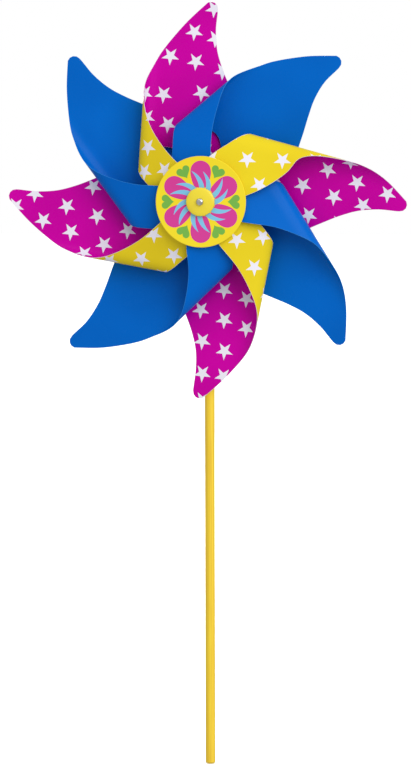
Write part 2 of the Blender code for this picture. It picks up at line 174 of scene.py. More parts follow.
# ---- mesh fineness -------------------------------------------------------------------------------
BEND_FACETS = 36
EASE_FACETS = 8
EDGE_STEP = 2.0
END_STEPS = 5                # steps round an arm's tip, and round its strap's end
RING_STEPS = 12              # steps along the sheet's own hole, in an arm's quarter
HOLE_SIDES = 32
ROW_STEP = 9.0
TRACK_STEP = 0.25
LEAN_ROW_STEP = 2
LEAN_ROW_SPAN = (-24, 50)    # the rows across the leaning part, degrees from the arm
LEAN_ROW_STEPS = 24
MERGE_DIGITS = 3             # the sheet's points that agree to this many digits are one
FINE_SIDES = 96


# ---- small geometry helpers ----------------------------------------------------------------------
def smoothstep(low, high, value):
    """Goes smoothly from 0 to 1 as the value goes from low to high."""
    t = min(max((value - low) / (high - low), 0.0), 1.0)
    return t * t * (3 - 2 * t)


def polar(radius, degrees):
    angle = math.radians(degrees)
    return Vector((radius * math.cos(angle), radius * math.sin(angle)))


def arc(centre, radius, start, stop, steps):
    turns = [start + (stop - start) * i / steps for i in range(steps + 1)]
    return [Vector(centre) + polar(radius, turn) for turn in turns]


def circle(radius, sides, centre=(0, 0)):
    return arc(centre, radius, 0, 360 - 360 / sides, sides - 1)


def through(a, b, c, d, t):
    """Centripetal Catmull-Rom point between b and c."""
    ka, kb, kc = (math.sqrt(max((q - p).length, TINY)) for p, q in ((a, b), (b, c), (c, d)))
    ta, tb, tc, td = 0.0, ka, ka + kb, ka + kb + kc
    x = tb + (tc - tb) * t
    p = a + (b - a) * ((x - ta) / (tb - ta))
    q = b + (c - b) * ((x - tb) / (tc - tb))
    r = c + (d - c) * ((x - tc) / (td - tc))
    pq = p + (q - p) * ((x - ta) / (tc - ta))
    qr = q + (r - q) * ((x - tb) / (td - tb))
    return pq + (qr - pq) * ((x - tb) / (tc - tb))


def smooth_run(points, step=EDGE_STEP):
    """A smooth open curve through the points, cut into stretches of about one step."""
    run = [points[0]]
    ends = [points[0] * 2 - points[1]] + points + [points[-1] * 2 - points[-2]]
    for a, b, c, d in zip(ends, ends[1:], ends[2:], ends[3:]):
        pieces = max(1, round((c - b).length / step))
        for i in range(1, pieces + 1):
            run.append(through(a, b, c, d, i / pieces))
    return run


def inset_run(run, distance):
    """The run moved to its left, which is inwards on a counter-clockwise outline."""
    moved = []
    for before, point, after in zip(run[:1] + run, run, run[1:] + run[-1:]):
        way = (after - before).normalized()
        moved.append(point + distance * Vector((-way.y, way.x)))
    return moved


def inside(point, loop):
    """Whether the point is in the closed loop, by the edges that it has on its right."""
    hit = False
    for a, b in zip(loop, loop[1:] + loop[:1]):
        if (a.y > point.y) != (b.y > point.y):
            if point.x < a.x + (point.y - a.y) / (b.y - a.y) * (b.x - a.x):
                hit = not hit
    return hit


# ---- the rolled sheet ----------------------------------------------------------------------------
def half_wave(t):
    """Goes from 0 to 1 as t does, at a rate that follows half a sine wave."""
    return (1 - math.cos(math.pi * min(max(t, 0.0), 1.0))) / 2


def unit_turn(start, stop, steps=400):
    """Largest reach, last reach and rise of a unit of sheet that turns from start to stop."""
    reach, rise = [0.0], 0.0
    for i in range(steps):
        turned = start + (stop - start) * half_wave((i + 0.5) / steps)
        reach.append(reach[-1] + math.cos(turned) / steps)
        rise += math.sin(turned) / steps
    return max(reach), reach[-1], rise


BEND_TURN = math.pi - STRAP_SLOPE
BEND_REACH, BEND_END, BEND_RISE = unit_turn(0, BEND_TURN)
_, EASE_END, EASE_RISE = unit_turn(BEND_TURN, math.pi)


class Arm:
    """One arm of a sheet: its flat outline and the map from the flat sheet to the rolled one."""

    def __init__(self, ring, direction, tip_turn, bend_direction, reach, layer, narrower, longer):
        self.ring = ring
        self.spin = Matrix.Rotation(math.radians(direction), 2)
        self.tip_turn = math.radians(tip_turn)
        self.narrower, self.longer = narrower, longer
        normal = math.radians(bend_direction)
        self.normal = Vector((math.cos(normal), math.sin(normal)))
        self.along = Vector((math.sin(normal), -math.cos(normal)))
        # The bend and the slope behind it share the strap's climb and its way back to the axle.
        climb = FIRST_STRAP + layer * STRAP_PITCH - STAR_RING - EASE_LENGTH * EASE_RISE
        run = reach - FLAT_REACH + EASE_LENGTH * EASE_END
        steepness = math.tan(STRAP_SLOPE)
        share = BEND_RISE - (BEND_REACH - BEND_END) * steepness
        self.bend_length = (climb - run * steepness) / share
        self.bend_start = reach - BEND_REACH * self.bend_length
        self.middle = self.bend_start + self.bend_length / 2
        slope_length = (climb - BEND_RISE * self.bend_length) / math.sin(STRAP_SLOPE)
        self.ease_start = self.bend_start + self.bend_length + slope_length
        self.hole = self.ease_start + EASE_LENGTH + FLAT_REACH
        self.track = self.make_track()

    def turned(self, past):
        """Angle that the sheet has turned through, at a distance from the axle along the sheet."""
        bent = half_wave((past - self.bend_start) / self.bend_length)
        eased = half_wave((past - self.ease_start) / EASE_LENGTH)
        return BEND_TURN * bent + STRAP_SLOPE * eased

    def make_track(self):
        """Distances out from the axle and forward, a step apart along the sheet after the bend
        starts."""
        out, forward = self.bend_start, 0.0
        track = [(out, forward)]
        steps = math.ceil((self.hole + 2 * STRAP_END_ROUND - self.bend_start) / TRACK_STEP)
        for i in range(steps):
            angle = self.turned(self.bend_start + (i + 0.5) * TRACK_STEP)
            out += math.cos(angle) * TRACK_STEP
            forward += math.sin(angle) * TRACK_STEP
            track.append((out, forward))
        return track

    def rolled(self, past):
        """Distances out from the axle and forward, at a distance from the axle along the sheet."""
        if past <= self.bend_start:
            return past, 0.0
        place = (past - self.bend_start) / TRACK_STEP
        low = int(place)
        (out, forward), (next_out, next_forward) = self.track[low:low + 2]
        return (out + (next_out - out) * (place - low),
                forward + (next_forward - forward) * (place - low))

    def body(self, point):
        """A body point, with the arm's own length and the turn of its tip."""
        share = smoothstep(*TURN_SPAN, math.hypot(*point))
        reached = Vector(point) + Vector((self.longer * share, 0))
        return Matrix.Rotation(self.tip_turn * share, 2) @ reached

    def strap(self, point):
        """A strap point, given along the bend and past its middle, in the flat sheet."""
        return point[0] * self.along + (self.middle + point[1]) * self.normal

    def outline(self):
        """Outline of this arm's quarter of the sheet: the arm's own edge, and the hub ring's."""
        away = math.degrees(math.atan2(self.normal.y, self.normal.x))
        start, stop = END_ROUND_SPAN
        tip = arc(TIP_CENTRE, TIP_ROUND, *TIP_SPAN, END_STEPS)
        edge = [self.body(p) for p in TRAILING_EDGE + tip + OUTER_EDGE]
        corner, *outer = STRAP_OUTER
        edge += [self.strap((corner[0] - max(self.narrower, 0), corner[1]))]
        edge += [self.strap((x - self.narrower, y)) for x, y in outer]
        edge += arc(self.hole_centre(), STRAP_END_ROUND, away + start, away + stop, END_STEPS)
        edge += [self.strap(p) for p in STRAP_INNER] + [Vector(p) for p in NECK_LEADING]
        hub = [polar(RING_RADIUS, RING_LEADING_ANGLE), polar(RING_RADIUS, HALF_QUARTER)]
        hub += arc((0, 0), TUBE_HOLE, HALF_QUARTER, -HALF_QUARTER, RING_STEPS)
        hub += [polar(RING_RADIUS, -HALF_QUARTER), polar(RING_RADIUS, RING_TRAILING_ANGLE)]
        return smooth_run([Vector(p) for p in NECK_TRAILING] + edge), hub

    def hole_centre(self):
        return self.hole * self.normal

    def place(self, flat):
        """Rolled position, in millimetres, of a point of the flat sheet."""
        past, beside = flat.dot(self.normal), flat.dot(self.along)
        out, forward = self.rolled(past)
        lean = smoothstep(LEAN_STARTS, LEAN_FULL, flat.length)
        unrolled = 1 - smoothstep(0, 1, (past - self.bend_start) / self.bend_length)
        forward += math.tan(FAN_TILT) * flat.y * lean * unrolled
        forward += STAR_RING + (self.ring - STAR_RING) * (1 - lean) * unrolled
        plane = self.spin @ (out * self.normal + beside * self.along)
        return Vector((plane.x, -forward, AXLE_HEIGHT + plane.y))

    def surface(self, flat, probe=0.02):
        """Rolled position and the direction that the printed face looks in."""
        point = self.place(flat)
        right = self.place(flat + Vector((probe, 0))) - self.place(flat - Vector((probe, 0)))
        up = self.place(flat + Vector((0, probe))) - self.place(flat - Vector((0, probe)))
        return point, right.cross(up).normalized()


def star(centre, spike):
    """Closed outline of a five-pointed star, with one spike in the given direction."""
    points = []
    for i in range(STAR_CORNERS):
        radius = STAR_RADIUS * (STAR_WAIST if i % 2 else 1.0)
        points.append(centre + polar(radius, spike + 360 / STAR_CORNERS * i))
    return points


def star_rows(arm, edge, places, start, along, across, spike):
    """Stars of the print on the arm, in the arm's own axes: the placed ones, then the rows."""
    home = arm.spin.inverted()
    turn = math.degrees(math.atan2(home[1][0], home[0][0]))
    centres = [home @ Vector(p) for p in places]
    each_way = range(-ROWS_EACH_WAY, ROWS_EACH_WAY + 1)
    for i in each_way:
        for j in each_way:
            centre = home @ (Vector(start) + i * Vector(along) + j * Vector(across))
            if all((centre - c).length > STAR_ROOM for c in centres[:len(places)]):
                centres.append(centre)
    found = [star(c, spike + turn) for c in centres if c.length > RING_RADIUS + STAR_RADIUS]
    return [points for points in found if any(inside(p, edge) for p in points)]


class Flat:
    """A flat drawing: closed loops and lines that geometry.delaunay_2d_cdt cuts into triangles."""
    ALL_TRIANGLES = 0        # its output type: everything within the convex hull
    MERGE_WITHIN = 1e-5

    def __init__(self):
        self.points, self.lines, self.loops = [], [], []

    def add_loop(self, loop):
        """Adds a closed loop, turned counter-clockwise, and gives its number."""
        if sum(a.x * b.y - b.x * a.y for a, b in zip(loop, loop[1:] + loop[:1])) < 0:
            loop = loop[::-1]
        self.loops.append(list(range(len(self.points), len(self.points) + len(loop))))
        self.points += loop
        return len(self.loops) - 1

    def add_line(self, line):
        first = len(self.points)
        self.points += line
        self.lines += [(first + i, first + i + 1) for i in range(len(line) - 1)]

    def cells(self):
        """Points, triangles, and for each triangle the set of loops that it lies in."""
        found = geometry.delaunay_2d_cdt(self.points, self.lines, self.loops,
                                         self.ALL_TRIANGLES, self.MERGE_WITHIN)
        return found[0], found[2], [set(loops) for loops in found[5]]


PLAIN, STAR, BARE = 0, 1, 2  # what a triangle shows on one side
FACE_SLOTS = (0, 1, 4)       # material slots of those on the printed face
BACK_SLOTS = (2, 3, 4)       # and on the reverse
EDGE_SLOT = 4


def arm_drawing(arm, face_stars, reverse_stars):
    """Points of the arm's quarter of the sheet, and its triangles with what each side shows.

    It is cut along the stars of both sides and across the bend."""
    run, hub = arm.outline()
    edge = run + hub
    drawing = Flat()
    whole = drawing.add_loop(edge)
    printed = drawing.add_loop(inset_run(run, BARE_EDGE) + hub)
    hole = drawing.add_loop(circle(TUBE_HOLE, HOLE_SIDES, arm.hole_centre()))
    on_face, on_back = ({drawing.add_loop(points) for points in star_rows(arm, edge, *stars)}
                        if stars else set() for stars in (face_stars, reverse_stars))
    across = max(p.dot(arm.along) for p in edge), min(p.dot(arm.along) for p in edge)
    pieces = math.ceil((across[0] - across[1]) / ROW_STEP)
    rows = [arm.bend_start + arm.bend_length * i / BEND_FACETS for i in range(-1, BEND_FACETS + 2)]
    rows += [arm.ease_start + EASE_LENGTH * i / EASE_FACETS for i in range(-1, EASE_FACETS + 2)]
    steps = [across[1] + ROW_STEP * (n - 0.5) for n in range(pieces + 2)]
    for past in rows:
        drawing.add_line([past * arm.normal + beside * arm.along for beside in steps])
    for radius in range(int(LEAN_STARTS), int(LEAN_FULL) + LEAN_ROW_STEP, LEAN_ROW_STEP):
        drawing.add_line(arc((0, 0), radius, *LEAN_ROW_SPAN, LEAN_ROW_STEPS))
    points, cells, within = drawing.cells()
    kept = []
    for cell, loops in zip(cells, within):
        if whole in loops and hole not in loops:
            face, back = (BARE if printed not in loops else STAR if loops & stars else PLAIN
                          for stars in (on_face, on_back))
            kept.append((tuple(cell), face, back))
    return points, kept


def sheet_middle(arms, ring, prints):
    """The sheet's middle surface: its rolled points, their normals and their places in the flat
    sheet, the triangles, and what each triangle shows on its face and on its back."""
    index, middles, normals, flats, triangles, inks = {}, [], [], [], [], []
    for arm_name, numbers in arms.items():
        arm = Arm(ring, *numbers)
        points, kept = arm_drawing(arm, *(prints[arm_name] if prints else (None, None)))
        local = {}
        for cell, face, back in kept:
            for i in cell:
                if i not in local:
                    middle, normal = arm.surface(points[i])
                    key = tuple(round(c, MERGE_DIGITS) for c in middle)
                    if key not in index:
                        index[key] = len(middles)
                        middles.append(middle)
                        normals.append(normal)
                        flats.append(arm.spin @ points[i])
                    local[i] = index[key]
            triangle = tuple(local[i] for i in cell)
            # Where points were merged, a triangle can have collapsed, which would be invalid.
            if len(set(triangle)) == len(triangle):
                triangles.append(triangle)
                inks.append((face, back))
    return middles, normals, flats, triangles, inks


def rolled_sheet(name, arms, ring, finishes, prints=None):
    """A foil sheet. finishes: printed face, its stars, reverse, its stars, bare cut edge."""
    middles, normals, flats, triangles, inks = sheet_middle(arms, ring, prints)
    count = len(middles)
    verts = [(p + n * SHEET / 2) * MM for p, n in zip(middles, normals)]
    verts += [(p - n * SHEET / 2) * MM for p, n in zip(middles, normals)]
    used = {(a, b) for f in triangles for a, b in zip(f, f[1:] + f[:1])}
    walls = [(b, a, a + count, b + count) for a, b in sorted(used) if (b, a) not in used]
    backs = [tuple(i + count for i in reversed(f)) for f in triangles]
    mesh = bpy.data.meshes.new(name)
    mesh.from_pydata([tuple(v) for v in verts], [], triangles + backs + walls)
    for finish in finishes:
        mesh.materials.append(finish)
    slots = [FACE_SLOTS[face] for face, _ in inks] + [BACK_SLOTS[back] for _, back in inks]
    mesh.polygons.foreach_set("material_index", slots + [EDGE_SLOT] * len(walls))
    span = 2 * node_radius(name)
    shown = mesh.uv_layers.new(name="flat_sheet")
    shades = []
    for polygon in mesh.polygons:
        wall = polygon.index >= 2 * len(triangles)
        for loop in polygon.loop_indices:
            vertex = mesh.loops[loop].vertex_index
            flat = flats[vertex % count]
            shown.data[loop].uv = (0.5 + flat.x / span, 0.5 + flat.y / span)
            side = normals[vertex % count] * (1 if vertex < count else -1)
            shades.append(tuple(polygon.normal if wall else side))
    mesh.shade_smooth()
    mesh.normals_split_custom_set(shades)
    return link(mesh, "wheel", name)


def link(mesh, body, *nodes):
    """An object for the mesh that rides on the body and stands for the CAD nodes."""
    made = bpy.data.objects.new(mesh.name + "_look", mesh)
    bpy.context.scene.collection.objects.link(made)
    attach(made, body)
    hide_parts(*nodes)
    return made


# ---- turned pieces -------------------------------------------------------------------------------
ROUND_SHARE = 0.45           # most of a side that the round at one of its ends may take


def rounded(corners, radius, steps=5):
    """A closed profile with each corner rounded."""
    made = []
    for before, corner, after in zip(corners[-1:] + corners, corners, corners[1:] + corners[:1]):
        a, b, c = Vector(before), Vector(corner), Vector(after)
        r = min(radius, (a - b).length * ROUND_SHARE, (c - b).length * ROUND_SHARE)
        start, stop = b + (a - b).normalized() * r, b + (c - b).normalized() * r
        for i in range(steps + 1):
            t = i / steps
            made.append(start * (1 - t) ** 2 + b * 2 * t * (1 - t) + stop * t * t)
    return made


def turned_mesh(name, profile, finish, sides=FINE_SIDES, closed=True):
    """A piece turned about the axle. The profile is (radius, forward) points in millimetres,
    and runs from the back round the outside to the front."""
    verts, rings, faces = [], [], []
    for radius, forward in profile:
        if radius < TINY:
            rings.append([len(verts)] * sides)
            verts.append((0, -forward * MM, AXLE_HEIGHT * MM))
            continue
        rings.append(list(range(len(verts), len(verts) + sides)))
        for spoke in circle(radius, sides):
            verts.append((spoke.x * MM, -forward * MM, (AXLE_HEIGHT + spoke.y) * MM))
    pairs = list(zip(rings, rings[1:])) + ([(rings[-1], rings[0])] if closed else [])
    for low, high in pairs:
        for i in range(sides):
            j = (i + 1) % sides
            face = [low[i], low[j], high[j], high[i]]
            faces.append(tuple(v for n, v in enumerate(face) if v not in face[:n]))
    mesh = bpy.data.meshes.new(name)
    mesh.from_pydata(verts, [], faces)
    mesh.materials.append(finish)
    mesh.shade_smooth()
    mesh.set_sharp_from_angle(angle=SHARP_ANGLE)
    return mesh


# ---- printed face disc ---------------------------------------------------------------------------
PETAL_SIDE = [(10.0, 4.2), (13.0, 5.6), (17.0, 6.8), (21.3, 7.3), (25.4, 6.2), (28.0, 3.3)]
PETAL_TIP = 28.8
PETAL_STEP = 0.8
HEART_PLACE = 24.0
HEART_SIZE = 0.31            # millimetres to one unit of the heart formula
HEART_POINTS = 40
LEAVES = ((58, 28, 21.4), (85, 22, 22.6))     # for the petal at 90: start, sweep, reach of the tip
LEAF_BASE = 9.5
LEAF_HALF_WIDTH = 1.8
LEAF_CURL = 1.15             # over 1, a leaf turns more towards its tip
LEAF_TAPER = 2.2             # the higher, the nearer to the tip a leaf narrows
REPEATS = 6                  # the petal, the heart and the two leaves come this many times
FIRST_PETAL = 90
DISC_EDGE_ROUND = 0.4        # half of the disc's thickness
DISC_EDGE_STEPS = 8
PETAL_INK, HEART_INK, LEAF_INK = 1, 2, 3


def petal():
    """Closed outline of a petal that points along +X."""
    side = [Vector(p) for p in PETAL_SIDE]
    points = [Vector((p.x, -p.y)) for p in side] + [Vector((PETAL_TIP, 0))] + side[::-1]
    return smooth_run(points, PETAL_STEP)


def heart():
    """Closed outline of a heart with its point towards the axle, on the +X side of it."""
    points = []
    for i in range(HEART_POINTS):
        t = 2 * math.pi * i / HEART_POINTS
        width = 16 * math.sin(t) ** 3
        height = 13 * math.cos(t) - 5 * math.cos(2 * t) - 2 * math.cos(3 * t) - math.cos(4 * t)
        points.append(Vector((HEART_PLACE + height * HEART_SIZE, -width * HEART_SIZE)))
    return points


def leaf(start, sweep, reach, steps=14):
    """Closed outline of a curved leaf that starts under the cap and tapers outwards."""
    middle = []
    for i in range(steps + 1):
        turn = start + sweep * (i / steps) ** LEAF_CURL
        middle.append(polar(LEAF_BASE + (reach - LEAF_BASE) * i / steps, turn))
    right, left = [], []
    for i in range(steps):
        way = (middle[i + 1] - middle[i]).normalized()
        side = Vector((-way.y, way.x)) * LEAF_HALF_WIDTH * (1 - (i / steps) ** LEAF_TAPER)
        right.append(middle[i] - side)
        left.append(middle[i] + side)
    return right + [middle[-1]] + left[::-1]


def spun(loop, degrees):
    """The loop turned about the axle."""
    turn = Matrix.Rotation(math.radians(degrees), 2)
    return [turn @ p for p in loop]


def printed_disc(finishes):
    """The face disc. finishes: plain, petal, heart and leaf."""
    back, front = forward_span("face_disc")
    radius = node_radius("face_disc")
    flat_radius = radius - DISC_EDGE_ROUND
    drawing = Flat()
    whole = drawing.add_loop(circle(flat_radius, FINE_SIDES))
    bore = drawing.add_loop(circle(TUBE_HOLE, FINE_SIDES))
    inks = {}
    for repeat in range(REPEATS):
        turn = 360 / REPEATS * repeat
        inks[drawing.add_loop(spun(petal(), FIRST_PETAL + turn))] = PETAL_INK
        inks[drawing.add_loop(spun(heart(), turn))] = HEART_INK
        for one in LEAVES:
            inks[drawing.add_loop(spun(leaf(*one), turn))] = LEAF_INK
    points, cells, within = drawing.cells()
    kept = [(cell, loops) for cell, loops in zip(cells, within)
            if whole in loops and bore not in loops]
    rim = [(flat_radius + p.x, (front + back) / 2 + p.y)
           for p in arc((0, 0), DISC_EDGE_ROUND, -90, 90, DISC_EDGE_STEPS)]
    mesh = turned_mesh("face_disc", [(TUBE_HOLE, front), (TUBE_HOLE, back)] + rim, finishes[0],
                       closed=False)
    verts = [tuple(v.co) for v in mesh.vertices]
    faces = [tuple(p.vertices) for p in mesh.polygons]
    slots = [0] * len(faces)
    start = len(verts)
    verts += [(p.x * MM, -front * MM, (AXLE_HEIGHT + p.y) * MM) for p in points]
    for cell, loops in kept:
        faces.append(tuple(i + start for i in cell))
        slots.append(max((inks.get(n, 0) for n in loops), default=0))
    mesh = bpy.data.meshes.new("face_disc")
    mesh.from_pydata(verts, [], faces)
    for finish in finishes:
        mesh.materials.append(finish)
    mesh.polygons.foreach_set("material_index", slots)
    mesh.shade_smooth()
    mesh.set_sharp_from_angle(angle=SHARP_ANGLE)
    return link(mesh, "wheel", "face_disc")


# ---- materials -----------------------------------------------------------------------------------
MIX_A, MIX_B, MIX_RESULT = 6, 7, 2      # a Mix node's colour sockets, which share their names


def linear(share):
    """Linear value of an sRGB value."""
    return share / 12.92 if share <= 0.04045 else ((share + 0.055) / 1.055) ** 2.4


def colour(code):
    """Linear RGBA of a hex colour."""
    return tuple(linear(int(code[i:i + 2], 16) / 255) for i in (0, 2, 4)) + (1.0,)


class Finish:
    """A Principled material with helpers for the noise that varies it."""

    def __init__(self, name, code, roughness, metallic=0.0, coat=0.0, coat_roughness=0.1):
        self.made = bpy.data.materials.new(name)
        self.made.use_nodes = True
        self.tree = self.made.node_tree
        self.shader = self.tree.nodes["Principled BSDF"]
        self.set(self.shader, "Base Color", colour(code))
        self.set(self.shader, "Roughness", roughness)
        self.set(self.shader, "Metallic", metallic)
        self.set(self.shader, "Coat Weight", coat)
        self.set(self.shader, "Coat Roughness", coat_roughness)
        self.place = self.tree.nodes.new("ShaderNodeTexCoord").outputs["Object"]

    def set(self, node, socket, value):
        node.inputs[socket].default_value = value

    def node(self, kind, **values):
        made = self.tree.nodes.new(kind)
        for key, value in values.items():
            setattr(made, key, value)
        return made

    def noise(self, size, stretch=(1, 1, 1), detail=2.0, roughness=0.5):
        """Noise whose features are about size millimetres, longer where stretch is over 1."""
        mapping = self.node("ShaderNodeMapping")
        mapping.inputs["Scale"].default_value = [1 / (size * MM * s) for s in stretch]
        self.tree.links.new(self.place, mapping.inputs["Vector"])
        noise = self.node("ShaderNodeTexNoise")
        self.set(noise, "Scale", 1.0)
        self.set(noise, "Detail", detail)
        self.set(noise, "Roughness", roughness)
        self.tree.links.new(mapping.outputs["Vector"], noise.inputs["Vector"])
        return noise.outputs["Fac"]

    def ramp(self, source, low, high, start=0.3, stop=0.7):
        """The source, stretched so that start to stop becomes low to high."""
        made = self.node("ShaderNodeMapRange")
        self.set(made, "From Min", start)
        self.set(made, "From Max", stop)
        self.set(made, "To Min", low)
        self.set(made, "To Max", high)
        self.tree.links.new(source, made.inputs["Value"])
        return made.outputs["Result"]

    def vary_roughness(self, source, low, high):
        self.tree.links.new(self.ramp(source, low, high), self.shader.inputs["Roughness"])

    def tint(self, source, code_a, code_b, start=0.35, stop=0.65):
        """Base colour between two tints, by the source."""
        mix = self.node("ShaderNodeMix", data_type="RGBA")
        mix.inputs[MIX_A].default_value = colour(code_a)
        mix.inputs[MIX_B].default_value = colour(code_b)
        self.tree.links.new(self.ramp(source, 0.0, 1.0, start, stop), mix.inputs["Factor"])
        self.tree.links.new(mix.outputs[MIX_RESULT], self.shader.inputs["Base Color"])
        return mix

    def bump(self, *layers):
        """Bump from (source, height in millimetres) layers, one over another."""
        previous = None
        for source, height in layers:
            made = self.node("ShaderNodeBump")
            self.set(made, "Strength", 1.0)
            self.set(made, "Distance", height * MM)
            self.tree.links.new(source, made.inputs["Height"])
            if previous:
                self.tree.links.new(previous, made.inputs["Normal"])
            previous = made.outputs["Normal"]
        self.tree.links.new(previous, self.shader.inputs["Normal"])


FOIL_SPECULAR = 0.06         # low, because the photo's film hardly shows the white room


def foil(name, code, darker, roughness=0.22):
    """Printed plastic film: slightly wavy, with fine handling marks in its gloss."""
    made = Finish(name, code, roughness)
    made.set(made.shader, "Specular IOR Level", FOIL_SPECULAR)
    made.tint(made.noise(45, detail=1), code, darker)
    made.vary_roughness(made.noise(14, detail=3), roughness - 0.03, roughness + 0.05)
    made.bump((made.noise(38, detail=0), 0.35), (made.noise(0.8, detail=1), 0.0015))
    return made.made


def plastic(name, code, darker, roughness=0.35):
    """Moulded plastic: a fine satin grain and slightly uneven gloss."""
    made = Finish(name, code, roughness, coat=0.15, coat_roughness=0.2)
    made.tint(made.noise(12, detail=2), code, darker)
    made.vary_roughness(made.noise(3, detail=3), roughness - 0.06, roughness + 0.08)
    made.bump((made.noise(5, detail=1), 0.02), (made.noise(0.25, detail=2), 0.003))
    return made.made


def steel(name):
    """Bright drawn wire with turning marks round the axle's direction."""
    made = Finish(name, "C9C9C4", 0.22, metallic=1.0)
    made.tint(made.noise(2.5, detail=3), "D6D6D0", "B4B3AE")
    made.vary_roughness(made.noise(1.2, stretch=(1, 6, 1), detail=3), 0.14, 0.34)
    made.bump((made.noise(0.4, stretch=(1, 8, 1)), 0.004))
    return made.made


def painted_wood(name):
    """Yellow paint over a wooden dowel: long grain shows through, thinner paint on the ridges."""
    made = Finish(name, "F0C828", 0.5)
    grain = made.noise(1.1, stretch=(1, 1, 45), detail=5, roughness=0.6)
    patches = made.noise(9, stretch=(1, 1, 7), detail=2)
    mix = made.tint(grain, "ECC222", "FBDC34", 0.3, 0.68)
    shade = made.node("ShaderNodeMix", data_type="RGBA", blend_type="MULTIPLY")
    made.tree.links.new(made.ramp(patches, 0.0, 0.18), shade.inputs["Factor"])
    made.tree.links.new(mix.outputs[MIX_RESULT], shade.inputs[MIX_A])
    shade.inputs[MIX_B].default_value = colour("DDA82A")
    made.tree.links.new(shade.outputs[MIX_RESULT], made.shader.inputs["Base Color"])
    made.vary_roughness(grain, 0.36, 0.55)
    made.bump((grain, 0.05), (made.noise(2.2, stretch=(1, 1, 3)), 0.05))
    return made.made


# ---- studio --------------------------------------------------------------------------------------
VIEW_AZIMUTH, VIEW_ELEVATION, VIEW_ROLL = 9.4, 3.5, -0.13
VIEW_DISTANCE = 3.5
VIEW_CENTRE_X = -0.003
VIEW_LENS, VIEW_SENSOR = 231.5, 36.0
VIEW_FAR = 100
WHITE = (1, 1, 1, 1)
ROOM_LIGHT = 0.58            # light from all round
BACKDROP = 1.0               # how bright the backdrop looks
OVERHEAD = 3.3               # soft light from straight above for the floor, W per square metre
OVERHEAD_SPREAD = math.radians(60)
FLOOR_HALF = 12.0
FLOOR_DROP = 0.0005          # the floor is this far under the stick's foot
LIGHTS = {                   # place, side of the square (m), power (W)
    "key": ((2.73, -2.82, 2.38), 3.6, 125),
    "fill": ((-1.0, -2.0, 3.2), 1.6, 10),
    "back": ((-1.2, 2.4, 1.4), 2.0, 55),
}


def make_camera():
    target = (cad_low + cad_high) / 2
    target.x, target.y = VIEW_CENTRE_X, 0.0
    azimuth, elevation = math.radians(VIEW_AZIMUTH), math.radians(VIEW_ELEVATION)
    back = Vector((math.sin(azimuth) * math.cos(elevation),
                   -math.cos(azimuth) * math.cos(elevation), math.sin(elevation)))
    data = bpy.data.cameras.new("camera")
    data.lens, data.sensor_width = VIEW_LENS, VIEW_SENSOR
    data.clip_end = VIEW_FAR
    camera = bpy.data.objects.new("camera", data)
    roll = Matrix.Rotation(math.radians(VIEW_ROLL), 3, "Z")
    turn = back.to_track_quat("Z", "Y").to_matrix() @ roll
    camera.matrix_world = Matrix.Translation(target + back * VIEW_DISTANCE) @ turn.to_4x4()
    bpy.context.scene.collection.objects.link(camera)
    bpy.context.scene.camera = camera


def make_world():
    """A white world, which the camera sees brighter than it lights the object."""
    world = bpy.data.worlds.new("studio")
    bpy.context.scene.world = world
    world.use_nodes = True
    tree = world.node_tree
    light = tree.nodes["Background"]
    light.inputs["Color"].default_value = WHITE
    light.inputs["Strength"].default_value = ROOM_LIGHT
    shown = tree.nodes.new("ShaderNodeBackground")
    shown.inputs["Color"].default_value = WHITE
    shown.inputs["Strength"].default_value = BACKDROP
    either = tree.nodes.new("ShaderNodeMixShader")
    path = tree.nodes.new("ShaderNodeLightPath")
    tree.links.new(path.outputs["Is Camera Ray"], either.inputs["Fac"])
    tree.links.new(light.outputs[0], either.inputs[1])
    tree.links.new(shown.outputs[0], either.inputs[2])
    tree.links.new(either.outputs[0], tree.nodes["World Output"].inputs["Surface"])
    bpy.context.scene.view_settings.view_transform = "Standard"


def make_lights():
    """Square lights that point at the axle."""
    middle = Vector((0, 0, AXLE_HEIGHT * MM))
    for name, (place, side, power) in LIGHTS.items():
        data = bpy.data.lights.new(name, "AREA")
        data.size, data.energy = side, power
        light = bpy.data.objects.new(name, data)
        light.location = place
        light.rotation_euler = (middle - Vector(place)).to_track_quat("-Z", "Y").to_euler()
        bpy.context.scene.collection.objects.link(light)


def make_floor():
    """A paper floor that takes shadows but tints nothing, with a soft light of its own."""
    paper = Finish("floor_paper", "F4F4F2", 0.8)
    mesh = bpy.data.meshes.new("floor")
    corners = [(x * FLOOR_HALF, y * FLOOR_HALF, 0) for x, y in ((-1, -1), (1, -1), (1, 1), (-1, 1))]
    mesh.from_pydata(corners, [], [(0, 1, 2, 3)])
    mesh.materials.append(paper.made)
    floor = bpy.data.objects.new("floor", mesh)
    floor.location.z = cad_low.z - FLOOR_DROP
    bpy.context.scene.collection.objects.link(floor)
    floor.visible_diffuse = floor.visible_glossy = False
    lit = bpy.data.collections.new("lit_by_overhead")
    lit.objects.link(floor)
    data = bpy.data.lights.new("overhead", "SUN")
    data.energy, data.angle = OVERHEAD, OVERHEAD_SPREAD
    overhead = bpy.data.objects.new("overhead", data)
    bpy.context.scene.collection.objects.link(overhead)
    overhead.light_linking.receiver_collection = lit


